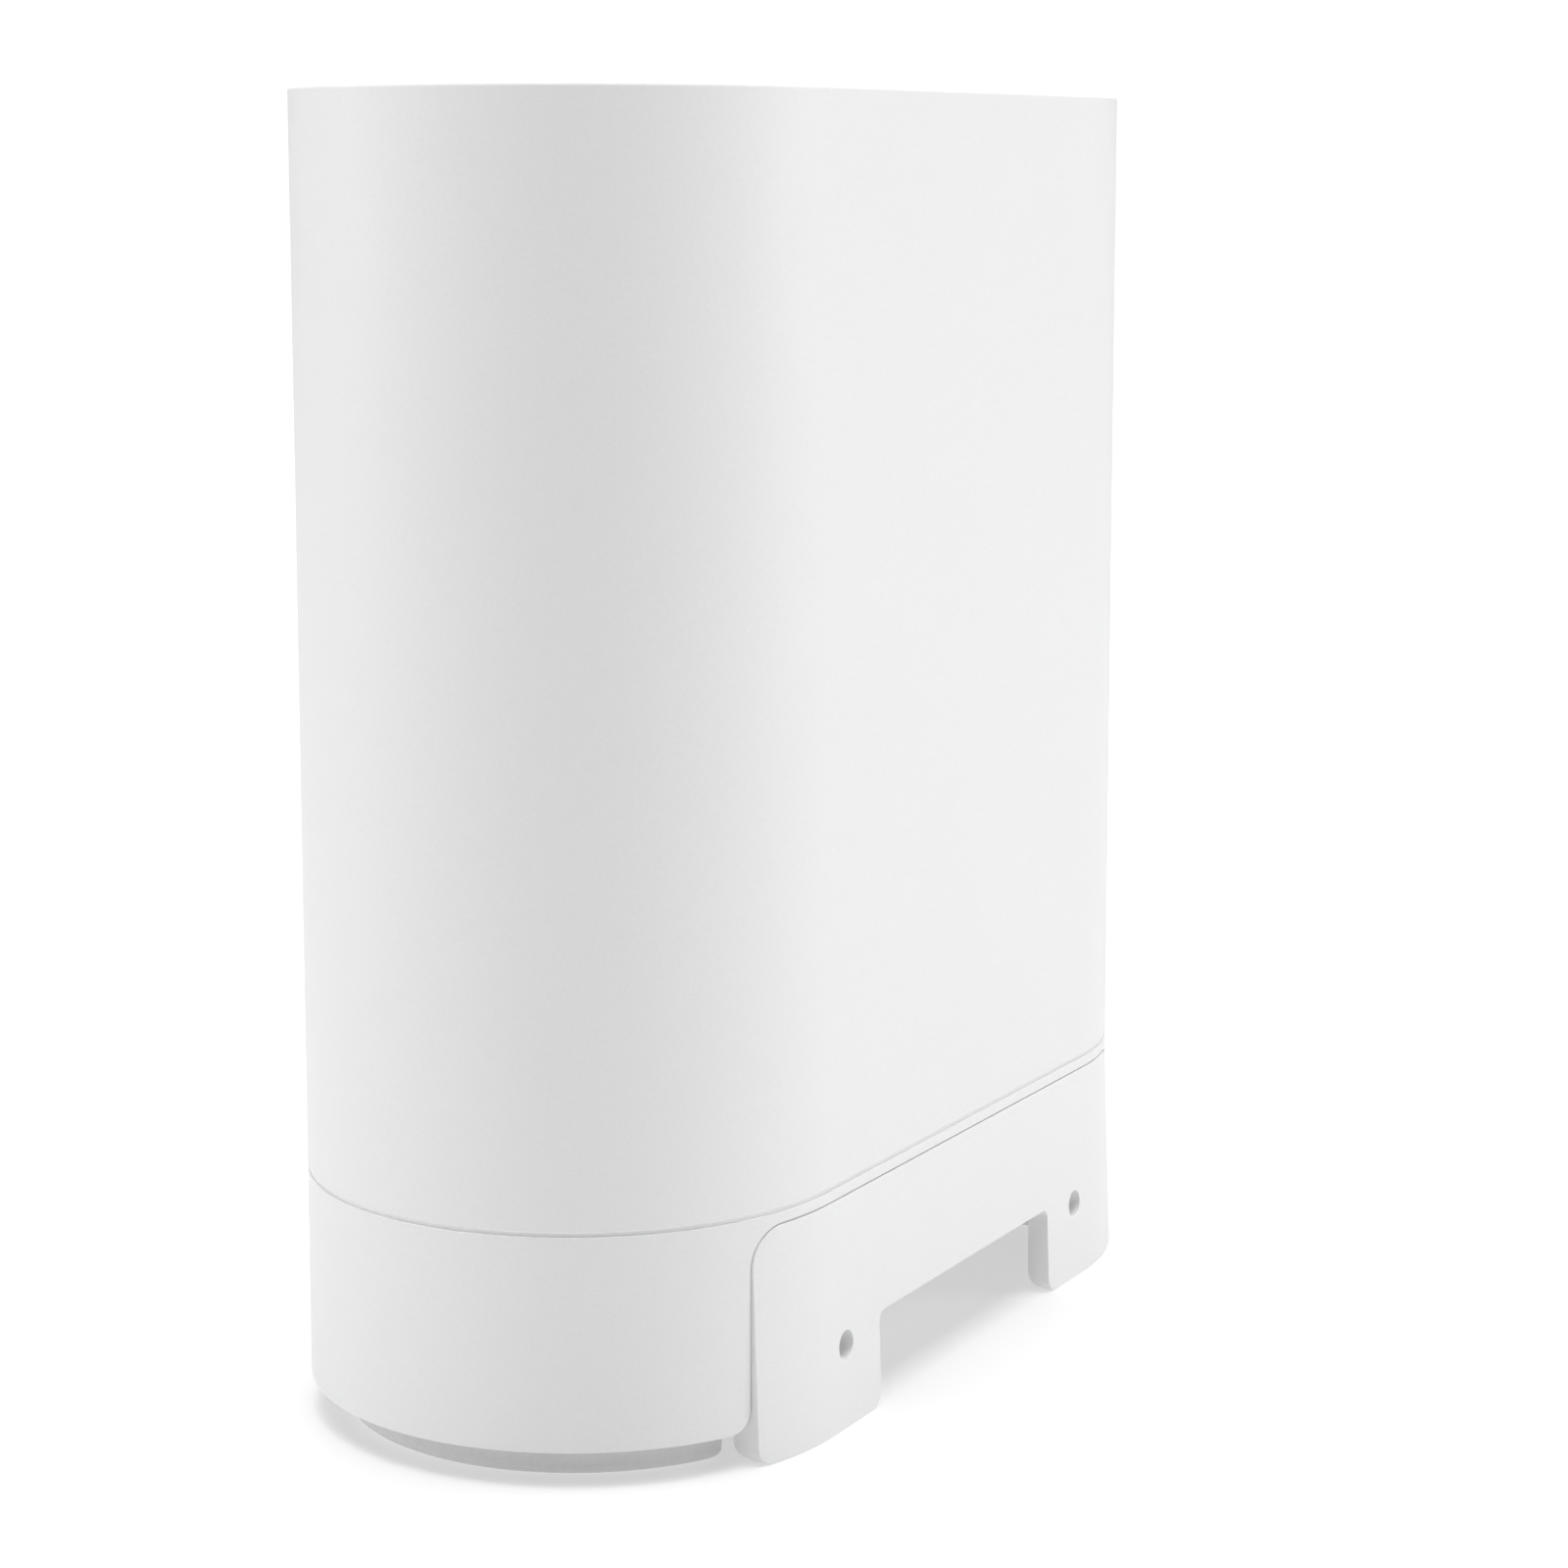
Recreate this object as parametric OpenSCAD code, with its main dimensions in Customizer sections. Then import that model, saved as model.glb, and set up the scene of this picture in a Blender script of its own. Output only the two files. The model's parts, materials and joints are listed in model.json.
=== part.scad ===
// Outdoor wireless router: a tall case with a stadium-shaped plan. A top shell stands on a
// base tray. A skirt and a rear mounting plate with two legs close the lower part, and the
// sockets and buttons are in an open cable bay underneath.
// Millimetres. +X is the width, +Y points to the rear (mounting) side and +Z is up. The origin
// is the centre of the bounding box's bottom face.

/* [Body] */
// Width across both round ends
body_w = 210; // [204:1:240]
// Thickness from front to back, also the diameter of the round ends
body_t = 100; // [98:1:108]
// Height of the whole router
body_h = 236.5; // [232:0.5:280]
// Wall of the shell and the skirt
wall = 2.6; // [2.2:0.1:2.8]
// Chamfer round the shell's top rim
rim = 1; // [0.5:0.1:1.5]

/* [Seams] */
// Top edge of the skirt
skirt_top = 44.2; // [44:0.1:45]
// Bottom edge of the skirt, above the feet
skirt_bottom = 6.4; // [4:0.1:10]
// Height of the groove between the shell and the skirt
seam = 0.7; // [0.4:0.1:1]
// Depth of the groove, which ends on the shell's tongue
seam_depth = 0.4; // [0.3:0.1:0.8]

/* [Mounting plate] */
// Width of the plate, which wraps onto both round ends
plate_w = 149.4; // [146:0.1:152]
// Height of the plate
plate_h = 42; // [40:0.1:42]
// How far the plate's foot stands out from the body
flare = 1.3; // [0.5:0.1:2]
// Width of the cable arch between the legs
arch_w = 72.6; // [60:0.1:80]
// Height of the cable arch
arch_h = 17.4; // [12:0.1:17.5]
// Distance between the two bolt holes
bolt_pitch = 98.4; // [94:0.1:104]
// Height of the bolt holes
bolt_z = 15.1; // [12:0.1:16]
// Diameter of the bolt holes, a clearance fit on M5
bolt_d = 5.3; // [4.5:0.1:6]

/* [Moving pieces] */
// Travel of the pairing button
pair_travel = 1; // [0.5:0.1:1]
// Travel of the reset button
reset_travel = 0.6; // [0.3:0.1:0.8]

/* [Hidden] */
$fn = 96;
eps = 0.01;
fit = 0.05;                              // radial clearance of screws and pins
air = 0.3;                               // gap between pieces that move past each other
end_r = body_t / 2;                      // radius of the round ends
end_x = body_w / 2 - end_r;              // centre of each round end
mid_y = -flare / 2;                      // centre plane of the body
shell_bottom = skirt_top + seam;
shell_roof = 2.8;
inner_r = end_r - wall;                  // inside of the shell and the skirt

// base tray
tray_r = inner_r - 0.2;
tray_wall = 2.2;
tray_top = 50;
boss_r = 5;                              // bosses for the shell screws
boss_top = tray_top + 0.5;
floor_z = 26;                            // underside of the floor, the cable bay's ceiling
floor_t = 3;
floor_top = floor_z + floor_t;
gasket_z = [46.5, 48.3];
gasket_depth = 0.95;
snap_z = [38.6, 40.8];
snap_depth = 0.8;

// hollow feet
foot_r = 44;
foot_x = 74;                             // flat inner wall of each foot
foot_wall = 2.5;
foot_screw_at = [85, 20];

// mounting plate
plate_gap = 0.4;
plate_inner_r = end_r - 3.4;
plate_corner = 6.8;
leg_corner = 3.4;
leg_round = 4;                           // rounding of the legs' inner bottom edge
arch_corner = 2;
skirt_corner = 4;
plate_screw_x = [-58, 0, 58];
plate_screw_z = 21.6;
plate_screw_r = 1.3;
lug_t = 6;
lug_bottom = 17.6;

// sockets and their cover
jack = [16, 14, 15];
jack_x = 12;
board_z = floor_z + jack.z;              // underside of the port board
board_t = 1.6;
cover_half = [24, 9.4];
cover_z = 22.6;
cover_t = 1.8;
cover_wall = 1.3;
hinge_y = -11.4;
hinge_z = 24;
hinge_r = 1.7;
pin_r = 1;
barrel_half = 18;
hinge_lug_w = 4;
catch_w = 10;

// buttons, vent and status light
button_x = 42;
pair_r = 4.5;
reset_r = 1.5;
switch_h = 3;
vent_at = [30, 28];
earth_at = [-30, 28];
light_z = 36;
light_r = 1.5;

// screws: shank radius and place
shell_screw_r = 2;
shell_screw_angle = 72;                  // from the X axis, about each end's centre
shell_screw_rho = 41.5;
board_screw_r = 1.25;
board_screw_at = [46, 32];
chassis_screw_r = 1.5;
chassis_screw_at = [66, 16];

// chassis, main board and antennas
chassis_half = 78;
chassis_z = [54, 214];
chassis_t = 3;
pcb_y = 8;
pcb_half = 72;
pcb_z = [62, 206];
pcb_face = pcb_y + board_t;
standoff_x = 66;
standoff_z = [68, 134, 200];
link_half = 14;
chip = [26, 2, 26];
chip_z = 112;
pad_t = 0.6;
sink_y = pcb_face + chip.y + pad_t;
sink = [82, 3.5, 70];
sink_z = 90;
sink_screw_at = [36, 31];
fin_pitch = 6;
fin_t = 1.6;
can = [50, 3, 34];
can_z = 166;
can_t = 0.6;
patch_y = -24;
patch_x = 38;
patch_z = [98, 172];
patch_size = 58;
patch_t = 1.2;
spacer_pitch = 24;
end_antenna = [0.8, 44, 120];
end_antenna_x = 88;
end_antenna_z = 75;
bracket_z = [80, 180];
bracket_h = 10;

// ---------- shared shapes ----------

// The stadium outline: two circles and the rectangle between them
module stadium_outline(r) {
    square([2 * end_x, 2 * r], center = true);
    for (s = [-1, 1]) translate([s * end_x, 0]) circle(r);
}

module stadium(r, z) {
    translate([0, 0, z[0]]) linear_extrude(z[1] - z[0]) stadium_outline(r);
}

module stadium_ring(r_out, r_in, z) {
    translate([0, 0, z[0]]) linear_extrude(z[1] - z[0]) difference() {
        stadium_outline(r_out);
        stadium_outline(r_in);
    }
}

// Sweeps a profile of (radius, height) round the stadium: two half turns and two straights
module stadium_sweep() {
    for (turn = [0, 180]) rotate(turn) {
        translate([end_x, 0, 0]) rotate(-90) rotate_extrude(angle = 180) children();
        translate([-end_x, 0, 0]) rotate([90, 0, 90]) linear_extrude(2 * end_x) children();
    }
}

// Everything further out along X than x
module beyond(x) {
    for (s = [-1, 1]) translate([s * (x + body_w), 0, 0]) cube(2 * body_w, center = true);
}

// A rectangle about x = 0 with one radius at its top corners and one at its bottom corners
module rounded_panel(w, z0, z1, r_top, r_bottom) {
    translate([-w / 2, z0 + r_bottom]) square([w, z1 - z0 - r_top - r_bottom]);
    translate([-w / 2 + r_top, z1 - r_top - eps]) square([w - 2 * r_top, r_top + eps]);
    translate([-w / 2 + r_bottom, z0]) square([w - 2 * r_bottom, r_bottom + eps]);
    for (s = [-1, 1]) {
        translate([s * (w / 2 - r_top), z1 - r_top]) circle(r_top);
        translate([s * (w / 2 - r_bottom), z0 + r_bottom]) circle(r_bottom);
    }
}

// Extrudes an outline drawn in X and Z from the centre plane to beyond the rear face
module to_rear() {
    translate([0, body_t, 0]) rotate([90, 0, 0]) linear_extrude(body_t) children();
}

// Turns a shape drawn along +Z so that it points to the rear
module rearward() {
    rotate([-90, 0, 0]) children();
}

// Turns a shape drawn along +Z so that it points along +X
module sideways() {
    rotate([0, 90, 0]) children();
}

module turned_over() {
    rotate([180, 0, 0]) children();
}

// A post or a bore along Z
module post(r, z) {
    translate([0, 0, z[0]]) cylinder(r = r, h = z[1] - z[0]);
}

module block(low, high) {
    translate(low) cube(high - low);
}

// Pan-head screw with a hex socket: its head is under z = 0 and its shank points up
module screw(r, length, head_r, head_h) {
    difference() {
        union() {
            post(head_r, [-head_h, 0]);
            post(r, [-eps, length]);
        }
        translate([0, 0, -head_h - eps]) cylinder(r = head_r * 0.5, h = head_h * 0.6, $fn = 6);
    }
}

module in_four(at) {
    for (sx = [-1, 1], sy = [-1, 1]) translate([sx * at.x, sy * at.y, 0]) children();
}

// Places its children at the shell screws, with X pointing out to the wall
module at_shell_screws() {
    for (side = [0, 180], a = [-shell_screw_angle, shell_screw_angle])
        rotate(side) translate([end_x, 0, 0]) rotate(a) translate([shell_screw_rho, 0, 0]) children();
}

// ---------- casings ----------

module shell_outside() {
    edge_z = body_h - rim;
    stadium(end_r, [shell_bottom, edge_z]);
    stadium(end_r - seam_depth, [skirt_top, shell_bottom + 1]);
    stadium_sweep() polygon([
        [0, edge_z - 1], [end_r, edge_z - 1], [end_r, edge_z], [end_r - rim, body_h], [0, body_h]
    ]);
}

module top_shell() {
    boss_z = [boss_top, boss_top + 26];
    color("white") difference() {
        union() {
            difference() {
                shell_outside();
                stadium(inner_r, [skirt_top - 1, body_h - shell_roof]);
            }
            at_shell_screws() {
                post(boss_r, boss_z);
                block([boss_r - 1, -1, boss_z[0]], [inner_r - shell_screw_rho + 1, 1, boss_z[1]]);
            }
        }
        at_shell_screws() post(shell_screw_r + fit, [boss_top - 1, boss_top + 18]);
    }
}

// A slot from x = -half to half, open at the bottom, that rounds the corners beside its mouth at z
module open_slot(half, z, top, r_top, r_mouth) {
    rounded_panel(2 * half, -10, top, r_top, 1);
    for (s = [-1, 1]) translate([s * half, z]) difference() {
        square(2 * r_mouth, center = true);
        translate([s * r_mouth, r_mouth]) circle(1.05 * r_mouth);
    }
}

// The mounting plate's place in the skirt
module plate_cutout() {
    open_slot(plate_w / 2 + plate_gap, skirt_bottom, plate_h + plate_gap, plate_corner + plate_gap,
        skirt_corner);
}

// Ribs inside the skirt that snap into the tray's groove
module snap_ribs() {
    rib_z = [snap_z[0] + 0.2, snap_z[1] - 0.2];
    intersection() {
        stadium_ring(inner_r + 1, tray_r - snap_depth + 0.2, rib_z);
        union() {
            for (x = [-45, 45]) block([x - 8, -end_r, 0], [x + 8, 0, body_h]);
            for (s = [-1, 1]) translate([s * body_w / 2, 0, 0]) cube([end_r, 24, 2 * body_h], center = true);
        }
    }
}

module lower_skirt() {
    color("white") {
        difference() {
            stadium_ring(end_r, inner_r, [skirt_bottom, skirt_top]);
            to_rear() plate_cutout();
            light_pipe_bore();
        }
        snap_ribs();
    }
}

// Section of the plate: flared outer face, stepped inner face, rounded inner bottom edge
module plate_section() {
    step_z = floor_z - 0.2;
    polygon(concat(
        [[end_r, plate_h], [end_r + flare, 0]],
        [for (a = [0 : 15 : 90])
            [plate_inner_r + leg_round * (1 - sin(a)), leg_round * (1 - cos(a))]],
        [[plate_inner_r, step_z], [tray_r + 0.1, step_z], [tray_r + 0.1, plate_h]]
    ));
}

module at_plate_screws() {
    for (x = plate_screw_x) translate([x, plate_inner_r, plate_screw_z]) rearward() children();
}

module rear_mount_plate() {
    color("white") difference() {
        intersection() {
            stadium_sweep() plate_section();
            to_rear() difference() {
                rounded_panel(plate_w, 0, plate_h, plate_corner, leg_corner);
                open_slot(arch_w / 2, 0, arch_h, arch_corner, leg_corner);
            }
        }
        for (s = [-1, 1]) translate([s * bolt_pitch / 2, 0, bolt_z])
            rearward() cylinder(d = bolt_d, h = body_t);
        at_plate_screws() post(plate_screw_r + fit, [-1, 2.4]);
    }
}

// Blocks under the floor that take the mounting plate's screws
module mount_plate_lugs() {
    color("gainsboro") difference() {
        intersection() {
            for (x = plate_screw_x)
                block([x - 5, plate_inner_r - lug_t, lug_bottom], [x + 5, end_r, floor_z]);
            stadium(plate_inner_r - 0.1, [0, floor_top]);
        }
        at_plate_screws() post(plate_screw_r + fit, [-lug_t - 1, 2]);
    }
}

// Two lugs for the cover's hinge pin and the catch at the cover's free edge
module hinge_lugs() {
    half = hinge_lug_w / 2;
    color("gainsboro") {
        difference() {
            for (s = [-1, 1]) translate([s * (barrel_half + air + half), hinge_y, hinge_z]) {
                sideways() post(hinge_r, [-half, half]);
                block([-half, -hinge_r, 0], [half, hinge_r, floor_z - hinge_z]);
            }
            hinge_bore(pin_r + 0.02);
        }
        block([-catch_w / 2, 11.6, cover_z + 0.6], [catch_w / 2, 12.8, floor_z]);
    }
}

module hinge_bore(r) {
    translate([0, hinge_y, hinge_z]) sideways() post(r, [-body_w / 4, body_w / 4]);
}

// The floor of the sealed compartment, with the openings for the sockets and buttons
module base_tray() {
    z = [floor_z - 1, floor_top + 1];
    color("gainsboro") difference() {
        stadium(tray_r, [floor_z, floor_top]);
        for (s = [-1, 1]) translate([s * jack_x, 0, floor_z])
            cube([jack.x + 0.3, jack.y + 0.3, 2 * floor_t + 1], center = true);
        at_shell_screws() post(shell_screw_r + fit, z);
        translate(earth_at) post(2 + fit, z);
        translate(vent_at) post(3 + fit, z);
        translate([button_x, 0, 0]) post(pair_r + air, z);
        translate([-button_x, 0, 0]) post(reset_r + air, z);
        in_four(foot_screw_at) post(board_screw_r + fit, z);
    }
}

// Wall on the floor, with the shell screws' bosses and the grooves for the gasket and the skirt
module tray_rim() {
    color("gainsboro") difference() {
        union() {
            stadium_ring(tray_r, tray_r - tray_wall, [floor_top, tray_top]);
            at_shell_screws() post(boss_r, [floor_top, boss_top]);
        }
        at_shell_screws() post(shell_screw_r + fit, [floor_top - 1, boss_top + 1]);
        stadium_ring(tray_r + 1, tray_r - gasket_depth - 0.05, [gasket_z[0] - 0.1, gasket_z[1] + 0.1]);
        stadium_ring(tray_r + 1, tray_r - snap_depth, snap_z);
        light_pipe_bore();
    }
}

// Posts on the floor for the chassis, the port board and the earth screw
module tray_posts() {
    color("gainsboro") difference() {
        union() {
            in_four(chassis_screw_at) post(4, [floor_top, chassis_z[0]]);
            in_four(board_screw_at) post(3.5, [floor_top, board_z]);
            translate(earth_at) post(4.5, [floor_top, floor_top + 6]);
        }
        in_four(chassis_screw_at) post(chassis_screw_r + fit, [chassis_z[0] - 12, chassis_z[0] + 1]);
        in_four(board_screw_at) post(board_screw_r + fit, [board_z - 8, board_z + 1]);
        translate(earth_at) post(2 + fit, [floor_top - 1, floor_top + 5]);
    }
}

// A D-shaped cup under one round end, closed by the tray's floor
module foot(s) {
    color("gainsboro") intersection() {
        difference() {
            union() {
                difference() {
                    stadium(foot_r, [0, floor_z]);
                    intersection() {
                        stadium(foot_r - foot_wall, [foot_wall, floor_z + 1]);
                        beyond(foot_x + foot_wall);
                    }
                }
                in_four(foot_screw_at) post(3.5, [foot_wall - eps, floor_z]);
            }
            in_four(foot_screw_at) post(board_screw_r + fit, [floor_z - 12, floor_z + 1]);
        }
        block([s > 0 ? foot_x : -body_w, -body_t, -1], [s > 0 ? body_w : -foot_x, body_t, floor_z + 1]);
    }
}

module foot_screws() {
    color("silver") in_four(foot_screw_at) translate([0, 0, floor_top + fit])
        turned_over() screw(board_screw_r, 12, 2.5, 1.6);
}

module body_gasket() {
    color("dimgray") stadium_ring(tray_r + 0.15, tray_r - gasket_depth, gasket_z);
}

module shell_screws() {
    color("silver") at_shell_screws() translate([0, 0, floor_z - fit])
        screw(shell_screw_r, 40, 4, 2.4);
}

module mount_plate_screws() {
    color("silver") at_plate_screws() translate([0, 0, -lug_t - fit])
        screw(plate_screw_r, lug_t + 2.2, 2.6, 1.8);
}

// ---------- cable bay ----------

module port_cover() {
    top = floor_z - air;
    inside = cover_half - [cover_wall, cover_wall];
    color("white") {
        difference() {
            block([-cover_half.x, -cover_half.y, cover_z], [cover_half.x, cover_half.y, top]);
            block([-inside.x, -inside.y, cover_z + cover_t], [inside.x, inside.y, floor_z]);
        }
        difference() {
            union() {
                translate([0, hinge_y, hinge_z]) sideways() post(hinge_r, [-barrel_half, barrel_half]);
                block([-barrel_half, hinge_y, cover_z], [barrel_half, -cover_half.y + 0.5, cover_z + cover_t]);
            }
            hinge_bore(pin_r + fit);
        }
        // thumb tab
        block([-catch_w / 2, cover_half.y - 0.5, cover_z], [catch_w / 2, 11.2, cover_z + cover_t]);
    }
}

module cover_gasket() {
    half = cover_half - [cover_wall + 0.1, cover_wall + 0.1];
    color("dimgray") translate([0, 0, cover_z + cover_t]) linear_extrude(1.3) difference() {
        square(2 * half, center = true);
        square(2 * (half - [1.3, 1.3]), center = true);
    }
}

module cover_hinge_pin() {
    half = barrel_half + air + hinge_lug_w;
    color("silver") translate([0, hinge_y, hinge_z]) sideways() post(pin_r, [-half, half]);
}

// Eight-way modular jack with its mouth facing down
module modular_jack(x) {
    color("black") translate([x, 0, floor_z]) difference() {
        block([-jack.x / 2, -jack.y / 2, 0], [jack.x / 2, jack.y / 2, jack.z]);
        block([-5.9, -4.2, -1], [5.9, 3, 12.5]);
        block([-3, -1, -1], [3, 4.6, 10]);
        block([-1.6, -1, -1], [1.6, 6, 8]);
    }
}

// Sprung contact wires on the front wall of each jack
module jack_contacts() {
    color("gold") for (x = [-jack_x, jack_x], i = [-3.5 : 3.5])
        translate([x + 1.02 * i, 0, floor_z]) block([-0.2, -4.2, 4], [0.2, -3.4, 12]);
}

// A button that is pushed up: cap, retaining flange and stem
module button(r, bottom, flange_r, stem_r, travel) {
    flange_z = [floor_top + air, floor_top + air + 1];
    post(r, [bottom, flange_z[0] + eps]);
    post(flange_r, flange_z);
    post(stem_r, [flange_z[1] - eps, board_z - switch_h - air - travel]);
}

module pair_button() {
    color("white") translate([button_x, 0, 0])
        button(pair_r, floor_z - 1.2, pair_r + 1.2, 2, pair_travel);
}

module reset_button() {
    color("dimgray") translate([-button_x, 0, 0])
        button(reset_r, floor_z + 1, reset_r + 1.5, 1.2, reset_travel);
}

module tact_switches() {
    color("darkslategray") for (s = [-1, 1]) translate([s * button_x, 0, board_z]) {
        block([-3, -3, -2], [3, 3, 0]);
        post(1.6, [-switch_h, -1.5]);
    }
}

module breather_vent() {
    color("dimgray") translate(vent_at) difference() {
        union() {
            post(7, [floor_z - 2.4, floor_z - 0.05]);
            post(3, [floor_z - 0.1, floor_top + 1.5]);
        }
        for (a = [0 : 60 : 300]) rotate(a) translate([4.6, 0, 0]) post(0.7, [floor_z - 3, floor_z - 1.4]);
    }
}

module earth_screw() {
    color("goldenrod") translate([earth_at.x, earth_at.y, floor_z - fit]) screw(2, 8, 4, 2.6);
}

module light_pipe_bore() {
    translate([0, -end_r, light_z]) rearward() post(light_r + 0.1, [-1, end_r / 4]);
}

module status_light_pipe() {
    color("whitesmoke") translate([0, -end_r, light_z]) rearward() post(light_r, [0, 8.5]);
}

module status_led() {
    color("palegreen") block([-1.5, -end_r + 8.6, light_z - 1.5], [1.5, -end_r + 10, board_z]);
}

// ---------- boards and chassis ----------

module port_board() {
    color("seagreen") difference() {
        block([-52, -43, board_z], [52, 37, board_z + board_t]);
        in_four(board_screw_at) post(board_screw_r + fit, [board_z - 1, board_z + board_t + 1]);
    }
}

module port_board_screws() {
    color("silver") in_four(board_screw_at) translate([0, 0, board_z + board_t + fit])
        turned_over() screw(board_screw_r, 8, 2.5, 1.6);
}

// Flat flexible cable with a connector at each end
module board_link() {
    low = board_z + board_t;
    color("ivory") {
        block([-link_half - 1, pcb_y - 3.3, low], [link_half + 1, pcb_y + 0.7, low + 2.2]);
        block([-link_half, pcb_y - 1.5, low + 2], [link_half, pcb_y - 1.2, pcb_z[0] + 3]);
        block([-link_half - 1, pcb_y - 3.2, pcb_z[0] + 2], [link_half + 1, pcb_y, pcb_z[0] + 7]);
    }
}

module at_standoffs() {
    for (s = [-1, 1], z = standoff_z) translate([s * standoff_x, 0, z]) rearward() children();
}

module at_patches() {
    for (s = [-1, 1], z = patch_z) translate([s * patch_x, 0, z]) children();
}

module chassis() {
    color("silver") difference() {
        union() {
            block([-chassis_half, 0, chassis_z[0]], [chassis_half, chassis_t, chassis_z[1]]);
            block([-chassis_half, -22, chassis_z[0]], [chassis_half, 22, chassis_z[0] + chassis_t]);
            at_standoffs() post(3, [0, pcb_y]);
        }
        at_standoffs() post(board_screw_r + fit, [-1, pcb_y + 1]);
        in_four(chassis_screw_at)
            post(chassis_screw_r + fit, [chassis_z[0] - 1, chassis_z[0] + chassis_t + 1]);
        at_patches() rearward() post(1.8, [-1, chassis_t + 1]);
        block([-link_half - 4, chassis_t + 0.5, chassis_z[0] - 1], [link_half + 4, 30, chassis_z[0] + 4]);
    }
}

module chassis_screws() {
    color("dimgray") in_four(chassis_screw_at)
        translate([0, 0, chassis_z[0] + chassis_t + fit]) turned_over() screw(chassis_screw_r, 13, 3, 2.2);
}

module at_sink_screws() {
    for (sx = [-1, 1], sz = [-1, 1])
        translate([sx * sink_screw_at.x, 0, sink_z + sink.z / 2 + sz * sink_screw_at.y]) rearward() children();
}

module main_board() {
    color("seagreen") difference() {
        block([-pcb_half, pcb_y, pcb_z[0]], [pcb_half, pcb_face, pcb_z[1]]);
        at_standoffs() post(board_screw_r + fit, [pcb_y - 1, pcb_face + 1]);
        at_sink_screws() post(board_screw_r + fit, [pcb_y - 1, pcb_face + 1]);
    }
}

module main_board_screws() {
    color("silver") at_standoffs() translate([0, 0, pcb_face + fit])
        turned_over() screw(board_screw_r, 6, 2.5, 1.6);
}

module system_chip() {
    color("black") translate([-chip.x / 2, pcb_face, chip_z]) cube(chip);
}

module memory_chips() {
    color("black") for (x = [-32, 20], z = [104, 134])
        translate([x, pcb_face, z]) cube([12, 1.1, 10]);
}

module thermal_pad() {
    color("lightsteelblue") translate([-chip.x / 2, pcb_face + chip.y, chip_z])
        cube([chip.x, pad_t, chip.z]);
}

module heat_sink() {
    color("darkgray") difference() {
        union() {
            translate([-sink.x / 2, sink_y, sink_z]) cube(sink);
            for (i = [-5 : 5]) translate([i * fin_pitch - fin_t / 2, sink_y + 3, sink_z])
                cube([fin_t, 20, sink.z]);
        }
        at_sink_screws() post(board_screw_r + fit, [sink_y - 1, sink_y + 5]);
    }
}

module heat_sink_screws() {
    color("silver") at_sink_screws() translate([0, 0, sink_y + sink.y + fit])
        turned_over() screw(board_screw_r, 8.2, 2.3, 1.6);
}

// Shielding can over the radio circuits, open towards the board
module shield_can(x) {
    color("silver") translate([x, pcb_face, can_z]) difference() {
        cube(can);
        block([can_t, -1, can_t], can - [can_t, can_t, can_t]);
    }
}

module patch_antenna(sx, z) {
    half = patch_size / 2;
    color("khaki") translate([sx * patch_x, patch_y, z]) {
        block([-half, -patch_t, -half], [half, 0, half]);
        block([-20, -patch_t - 0.3, -20], [20, -patch_t + eps, 20]);
    }
}

module antenna_spacers() {
    color("whitesmoke") at_patches() for (dx = [-1, 1], dz = [-1, 1])
        translate([dx * spacer_pitch, patch_y, dz * spacer_pitch]) rearward() post(2.5, [0, -patch_y]);
}

module antenna_feeds() {
    color("goldenrod") at_patches() rearward() post(1, [patch_y, pcb_y]);
}

module end_antenna_board(s) {
    color("khaki") translate([s * end_antenna_x - end_antenna.x / 2, -end_antenna.y / 2, end_antenna_z])
        cube(end_antenna);
}

// Arms from the chassis to an end antenna, each with a pad against the antenna's inner face
module antenna_bracket(s) {
    reach = end_antenna_x - end_antenna.x / 2;
    color("whitesmoke") for (z = bracket_z) translate([s * reach, 0, z + bracket_h / 2]) {
        translate([-s * 5.8, -1.5, 0]) cube([11.6, 3, bracket_h], center = true);
        translate([-s, 0, 0]) cube([2, 24, bracket_h], center = true);
    }
}

// A round wire swept along a list of points, as one tube with eight sides
module wire(points, r) {
    last = len(points) - 1;
    sides = 8;
    ring = function(i)
        let (
            along = points[min(i + 1, last)] - points[max(i - 1, 0)],
            across = cross(along, [0, 0, 1]) / norm(cross(along, [0, 0, 1])),
            third = cross(along, across) / norm(along)
        )
        [for (k = [0 : sides - 1]) let (a = 360 * k / sides) points[i] + r * (cos(a) * across + sin(a) * third)];
    polyhedron(
        [for (i = [0 : last]) each ring(i)],
        concat(
            [[for (k = [0 : sides - 1]) k]],
            [[for (k = [sides - 1 : -1 : 0]) last * sides + k]],
            [for (i = [0 : last - 1], k = [0 : sides - 1]) let (j = (k + 1) % sides)
                [i * sides + k, (i + 1) * sides + k, (i + 1) * sides + j, i * sides + j]]
        )
    );
}

// Thin coaxial leads from the end antennas round the chassis edge to the main board
module antenna_leads() {
    lead_z = 140;
    color("dimgray") for (s = [-1, 1]) {
        wire([
            [s * 87, 5, lead_z], [s * 84, 5.5, lead_z], [s * 81.5, 8, lead_z + 1], [s * 80, 11, lead_z + 4],
            [s * 77, 12.5, lead_z + 8], [s * 72, 12.5, lead_z + 12], [s * 66, 11.5, lead_z + 14],
            [s * 60, 11, lead_z + 15]
        ], 0.7);
        translate([s * 60, 0, lead_z + 15]) rearward() post(2, [pcb_face, pcb_face + 2.4]);
        translate([s * (end_antenna_x - end_antenna.x / 2 - 0.5), 5, lead_z]) cube([1, 4, 4], center = true);
    }
}

// ---------- nodes, placed so that the bounding box is centred ----------

module placed() {
    translate([0, mid_y, 0]) children();
}

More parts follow.
